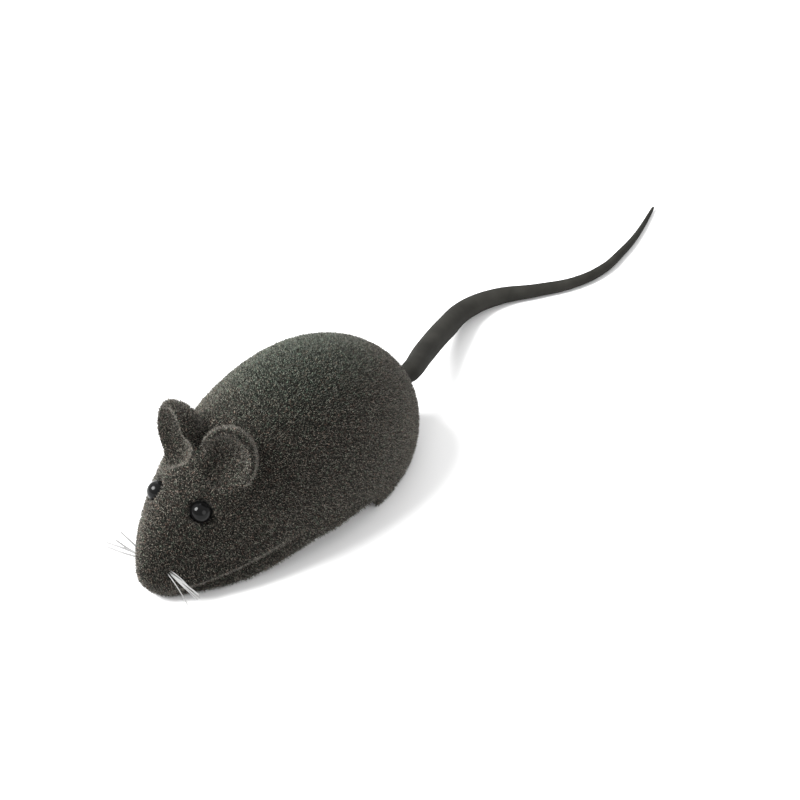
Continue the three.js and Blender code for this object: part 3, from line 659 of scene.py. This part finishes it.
def paint_cad_nodes():
    """Gives every CAD node the procedural material of its slot in the record."""
    for part in frame["record"]["subparts"]:
        mesh = frame["nodes"][part["node"]].data
        mesh.materials.clear()
        mesh.materials.append(SLOT_MATERIAL[part["material_slot"]])


# ---------------------------------------------------------------- shell and flock
BARE_EDGE = {"eye": 0.1, "tail": 0.15}  # bare ring round a socket and round the tail's hole
RUMP_X = -32  # the tail's hole lies behind this


def shell():
    """The moulded shell. Returns its points, quads and which quads are the flocked outside."""
    ticks = [np.arange(low, high, GRID_STEP) for low, high in zip(GRID_LOW, GRID_HIGH)]
    x, y, z = np.meshgrid(*ticks, indexing="ij")
    field, near_skin = shell_field(x, y, z, GRID_STEP)
    points, quads = surface_net(field)
    points = relaxed(points, quads, 3)
    cell = np.clip(np.round(points).astype(int), 0, np.array(field.shape) - 1)
    on_skin = near_skin[tuple(cell.T)]
    points = points * GRID_STEP + GRID_LOW
    outside = on_skin[quads].all(1)

    # The eye sockets, the tail's hole and the key's pad stay bare.
    for side in (1, -1):
        from_eye = np.linalg.norm(points - eye_centre(side), axis=1)
        outside &= from_eye[quads].mean(1) > SOCKET_RADIUS + BARE_EDGE["eye"]
    middle = points[quads].mean(1)
    from_tail = np.hypot(middle[:, 1], middle[:, 2] - TAIL_HOLE["z"])
    outside &= (middle[:, 0] > RUMP_X) | (from_tail > TAIL_HOLE["radius"] + BARE_EDGE["tail"])
    key = centre("key_bush")
    from_key = np.hypot(middle[:, 0] - key.x, middle[:, 2] - key.z)
    outside &= (middle[:, 1] > 0) | (from_key > KEY_PAD["radius"])

    piece = new_object(
        "shell_moulding", points, quads, [FLOCK, VINYL], "toy_body"
    )
    piece.data.polygons.foreach_set("material_index", (~outside).astype(np.int32))
    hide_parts("body_shell")
    return points, quads[outside]


def unit(rows):
    return rows / np.maximum(np.linalg.norm(rows, axis=1, keepdims=True), 1e-9)


def fibres(name, points, quads, count):
    """Flock: short tapered fibres that stand on the given quads and lean towards the rump."""
    a, b, c, d = [points[quads[:, i]] for i in range(4)]
    across = np.cross(c - a, d - b)
    area = np.linalg.norm(across, axis=1) / 2
    pick = RNG.choice(len(quads), count, p=area / area.sum())
    u, v = RNG.random((2, count, 1))
    foot = (a[pick] * (1 - u) + b[pick] * u) * (1 - v) + (d[pick] * (1 - u) + c[pick] * u) * v
    normal = unit(across)[pick]
    lean = RNG.normal(size=(count, 3)) * PILE["tilt"] - [PILE["lay"], 0, PILE["lay"] / 3]
    along = unit(normal + lean)
    short = np.maximum(PILE["upright"] - (along * normal).sum(1), 0)
    along = unit(along + normal * short[:, None] * 2)
    side = unit(np.cross(along, RNG.normal(size=(count, 3))))
    other = np.cross(along, side)
    length = FIBRE["length"] * RNG.uniform(0.7, 1.3, (count, 1))
    radius = FIBRE["radius"] * RNG.uniform(0.8, 1.25, (count, 1))
    ring = [
        foot
        - normal * FIBRE["sunk"]
        + radius * (side * math.cos(angle) + other * math.sin(angle))
        for angle in (0, 2 * math.pi / 3, 4 * math.pi / 3)
    ]
    tip = foot + along * length
    verts = np.stack([*ring, tip], 1).reshape(-1, 3)
    verts[:, 2] = np.maximum(verts[:, 2], FLOOR_GAP)
    start = 4 * np.arange(count)[:, None, None]
    faces = start + np.array([(0, 2, 1), (0, 1, 3), (1, 2, 3), (2, 0, 3)])
    piece = new_object(
        name, verts, faces.reshape(-1, 3), [LIT_FIBRES], "toy_body"
    )
    # A fibre is shaded mostly as the surface it stands on, so that the pile keeps the form.
    facing = unit(normal + RNG.normal(size=(count, 3)) * PILE["scatter"])
    piece.data.normals_split_custom_set_from_vertices(np.repeat(facing, 4, 0).tolist())


def flocked_shell():
    points, quads = shell()
    left = points[quads].mean(1)[:, 1] >= 0
    fibres("flock_left", points, quads[left], FIBRES_A_SIDE)
    fibres("flock_right", points, quads[~left], FIBRES_A_SIDE)


# ---------------------------------------------------------------- eyes, whiskers, tail
EYE_STEM = {"radius": 0.7, "end": -4, "chamfer": 0.1}  # its shoulder is at 0.96 of the bead
EYE_FACING = (0.45, 0.72, 0.53)  # ahead, out, up


def eyes():
    """Two beads, each with a short stem into the head."""
    radius, end, chamfer = EYE_STEM.values()
    ahead, out, up = EYE_FACING
    profile = [
        (0, end),
        (radius - chamfer, end),
        (radius, end + 2 * chamfer),
        (radius, -EYE_RADIUS * 0.96),
    ]
    steps = 24  # round the bead
    for i in range(1, steps):
        angle = math.pi * (i / steps * 0.94 + 0.06)
        profile.append((EYE_RADIUS * math.sin(angle), -EYE_RADIUS * math.cos(angle)))
    profile.append((0, EYE_RADIUS))
    for side, hand in ((1, "left"), (-1, "right")):
        axis = (ahead, side * out, up)
        bead = turned(
            f"bead_eye_{hand}", profile, eye_centre(side), axis, [BEAD], "toy_body", 48
        )
        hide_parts(f"eye_{hand}")


# Ends of the whiskers, from the root, as (ahead, out, up) in mm, how far each bows up, and its
# radius.
LEFT_WHISKERS = [
    (0.1, 6.9, -2.3, 0.1, 0.14),
    (0.2, 6.9, -2.7, -0.05, 0.14),
    (0, 6.8, -1.9, 0.05, 0.14),
    (0.3, 6.5, -3.1, -0.1, 0.13),
    (0.1, 5, -1.5, 0.6, 0.1),
    (1.6, 6, -4.1, 0.7, 0.09),
]
RIGHT_WHISKERS = [
    (0.3, 7.4, -1.5, -0.3, 0.21),
    (0.5, 7.2, -0.4, 0.2, 0.2),
    (0.6, 4.9, 1.4, -0.2, 0.2),
    (0.4, 4.1, 3.1, 0.1, 0.19),
]


WHISKER_DEPTH = 1.4  # how far inside the skin the bristles start
WHISKER_SPREAD = 0.1  # between the bristles' starts
WHISKER_TAPER = 0.2


def bristle(start, side, end):
    """A bristle's points and radii, from its start inside the snout to its end."""
    ahead, out, up, bow, radius = end
    x, y, z = start
    return [
        (
            x + ahead * share,
            y + side * (out + WHISKER_DEPTH) * share,
            z + up * share + bow * math.sin(math.pi * share),
            radius * (1 - WHISKER_TAPER * share),
        )
        for share in (0, 0.3, 0.65, 1)
    ]


def whiskers():
    for side, hand, ends in ((1, "left", LEFT_WHISKERS), (-1, "right", RIGHT_WHISKERS)):
        x, y, z = WHISKER_ROOT
        lines = []
        for i, end in enumerate(ends):
            across, up = WHISKER_SPREAD * (i % 3 - 1), WHISKER_SPREAD * (i % 2)
            start = (x + across, side * (y - WHISKER_DEPTH), z + up)
            lines.append(bristle(start, side, end))
        tuft = tube(f"whisker_tuft_{hand}", lines, [NYLON], "toy_body", 8, 6)
        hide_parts(f"whiskers_{hand}")


# The tail's centre line and radius: out of the rump, down to the floor, then along it.
TAIL_ROUTE = [
    (-31.5, 0, 8.6, 1.3),
    (-34.5, 0, 8.6, 1.3),
    (-37, -0.3, 8.45, 1.9),
    (-46, -3.9, 6.5, 2.1),
    (-58, -8.1, 4.1, 2.12),
    (-68, -10.5, 2.5, 1.95),
    (-76, -9.2, 1.75, 1.65),
    (-83, -5, 1.35, 1.28),
    (-90, -1.2, 1.15, 1.05),
    (-97.5, 0.3, 1.05, 0.95),
    (-105, -0.4, 0.95, 0.8),
    (-113, -2, 0.8, 0.6),
    (-124, -5.5, 0.6, 0.28),
    (-124.5, -5.65, 0.6, 0.1),
]


def tail():
    piece = tube("rubber_tail", [TAIL_ROUTE], [TAIL_RUBBER], "toy_body", 32, 16)
    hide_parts("tail")


# ---------------------------------------------------------------- wheels, chassis, key
def rounded(corners, radius, steps=4):
    """A closed (radius, along) outline with its corners rounded."""
    outline = []
    count = len(corners)
    for i, corner in enumerate(corners):
        here = Vector(corner)
        back = (Vector(corners[i - 1]) - here).normalized()
        ahead = (Vector(corners[(i + 1) % count]) - here).normalized()
        for k in range(steps + 1):
            share = k / steps
            start, end = here + back * radius, here + ahead * radius
            spot = start * (1 - share) ** 2 + here * 2 * share * (1 - share) + end * share**2
            outline.append(tuple(spot))
    return outline + outline[:1]


ACROSS = (0, 1, 0)  # the axles' direction
TREAD = {"grooves": 36, "deep": 0.28, "groove": 0.7, "edge": 0.05}
TYRE_FIT = 0.05  # between a tyre's bore and its wheel's rim
HUB = {"bore": 1.05, "radius": 2, "boss": 1.5}
DISH = {"sunk": 0.6, "web": 0.9}
SIDES_A_GROOVE = 6


def size_of(node):
    """Half the height and half the width of a wheel's CAD node, in millimetres."""
    low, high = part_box(node)
    return (high.z - low.z) / MM / 2, (high.y - low.y) / MM / 2


def tread(outer):
    """A shape for turned() that cuts grooves across the outside of a tyre."""

    def reach(radius, angle):
        turns = angle * TREAD["grooves"] / math.pi  # each groove and the rib beside it take 2
        grooved = radius > outer - TREAD["edge"] and turns % 2 < TREAD["groove"]
        return radius - TREAD["deep"] if grooved else radius

    return reach


def tyre(hand):
    outer, half = size_of(f"tyre_{hand}")
    bore = size_of(f"drive_wheel_{hand}")[0] + TYRE_FIT
    corners = [(bore, -half), (outer, -half), (outer, half), (bore, half)]
    piece = turned(
        f"treaded_tyre_{hand}",
        rounded(corners, 0.35),
        centre(f"tyre_{hand}"),
        ACROSS,
        [TYRE_RUBBER],
        "axle_set",
        SIDES_A_GROOVE * TREAD["grooves"],
        tread(outer),
    )
    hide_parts(f"tyre_{hand}")


def drive_wheel(side, hand):
    """A dished wheel: a hub and a rim joined by a web that is sunk into the outer face."""
    rim = size_of(f"drive_wheel_{hand}")[0]
    outside = side * size_of(f"tyre_{hand}")[1]
    face = outside - side * DISH["sunk"]
    back = face - side * DISH["web"]
    boss = face + side * 0.3
    dish = [
        (HUB["bore"], -outside),
        (HUB["radius"], -outside),
        (HUB["radius"], back),
        (rim - 0.9, back),
        (rim - 0.8, -outside),
        (rim, -outside),
        (rim, outside),
        (rim - 0.7, outside),
        (rim - 1, face),
        (HUB["boss"] + 1.1, face),
        (HUB["boss"] + 0.9, boss),
        (HUB["boss"], boss),
        (HUB["bore"], face),
    ]
    wheel = turned(
        f"dished_wheel_{hand}",
        rounded(dish, 0.12, 2),
        centre(f"tyre_{hand}"),
        ACROSS,
        [BLACK_PLASTIC],
        "axle_set",
    )
    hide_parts(f"drive_wheel_{hand}")


def drive_wheels():
    for side, hand in ((1, "left"), (-1, "right")):
        tyre(hand)
        drive_wheel(side, hand)


def front_wheel():
    """A narrow wheel with a groove sunk into each face, between its hub and its rim."""
    outer, half = size_of("front_wheel")
    one_face = [
        (0.6, half),
        (1.2, half),
        (1.3, half - 0.3),
        (outer - 0.8, half - 0.3),
        (outer - 0.6, half),
        (outer, half),
    ]
    corners = [(radius, -along) for radius, along in one_face] + one_face[::-1]
    piece = turned(
        "ribbed_front_wheel",
        rounded(corners, 0.1, 2),
        centre("front_wheel"),
        ACROSS,
        [BLACK_PLASTIC],
        "caster_wheel",
    )
    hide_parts("front_wheel")


def hard_parts():
    """The key, chassis, fork and motor plates, with their CAD shape and rounded edges."""
    key, base, steel = [KEY_STEEL], [BLACK_PLASTIC], [PLATE_STEEL]
    bevelled("winding_key", "nickel_key", key, "winding_set", 0.28, 3)
    bevelled("chassis", "moulded_chassis", base, "toy_body", 0.15)
    bevelled("front_fork", "bent_fork", steel, "fork_set", 0.1)
    for hand in ("left", "right"):
        node, name = f"motor_plate_{hand}", f"pressed_plate_{hand}"
        bevelled(node, name, steel, "toy_body", 0.1)


# ---------------------------------------------------------------- studio
FLOOR_HALF = 1.5  # metres
PAPER = 0.75  # grey of the floor
SKY_STRENGTH = 1.1
LIGHT_AIM_Z = 10  # mm over the floor
# Each light's name, its place in metres from where it aims, its diameter and its power.
LIGHTS = [
    ("key_light", (0.46, -0.36, 0.62), 0.5, 23),
    ("fill_light", (0.1, 0.7, 0.3), 0.6, 3),
    ("rim_light", (-0.4, -0.3, 0.5), 0.4, 0.8),
]
CAMERA_AIM = (-21.05, 10.05, 15.3)
CAMERA = {"azimuth": 38, "elevation": 34.2, "distance": 482.8, "lens": 126}


def area_light(name, offset, size, power):
    lamp = bpy.data.lights.new(name, "AREA")
    lamp.shape = "DISK"
    lamp.size = size
    lamp.energy = power
    aim = ORIGIN + Vector((0, 0, LIGHT_AIM_Z * MM))
    holder = bpy.data.objects.new(name, lamp)
    bpy.context.scene.collection.objects.link(holder)
    holder.location = Vector(offset) + aim
    holder.rotation_euler = (-Vector(offset)).to_track_quat("-Z", "Y").to_euler()


def studio():
    """A pale paper floor, an even white sky and three soft lights."""
    mesh = bpy.data.meshes.new("floor")
    size = FLOOR_HALF
    corners = [(-size, -size, 0), (size, -size, 0), (size, size, 0), (-size, size, 0)]
    mesh.from_pydata(corners, [], [(0, 1, 2, 3)])
    floor = bpy.data.objects.new("floor", mesh)
    bpy.context.scene.collection.objects.link(floor)
    paper, *_ = principled("paper", (PAPER,) * 3, 0.9, Specular_IOR_Level=0.1)
    mesh.materials.append(paper)

    world = bpy.data.worlds.new("studio")
    bpy.context.scene.world = world
    world.use_nodes = True
    sky = world.node_tree.nodes["Background"]
    sky.inputs["Color"].default_value = (1, 1, 1, 1)
    sky.inputs["Strength"].default_value = SKY_STRENGTH
    bpy.context.scene.view_settings.view_transform = "Standard"
    for light in LIGHTS:
        area_light(*light)


def camera():
    azimuth, elevation = math.radians(CAMERA["azimuth"]), math.radians(CAMERA["elevation"])
    away = Vector(
        (
            math.cos(elevation) * math.cos(azimuth),
            math.cos(elevation) * math.sin(azimuth),
            math.sin(elevation),
        )
    )
    data = bpy.data.cameras.new("camera")
    data.lens = CAMERA["lens"]
    data.sensor_width = 36
    data.clip_end = 20
    holder = bpy.data.objects.new("camera", data)
    bpy.context.scene.collection.objects.link(holder)
    holder.location = ORIGIN + Vector(CAMERA_AIM) * MM + away * CAMERA["distance"] * MM
    holder.rotation_euler = (-away).to_track_quat("-Z", "Y").to_euler()
    bpy.context.scene.camera = holder


paint_cad_nodes()
flocked_shell()
eyes()
whiskers()
tail()
drive_wheels()
front_wheel()
hard_parts()
studio()
camera()
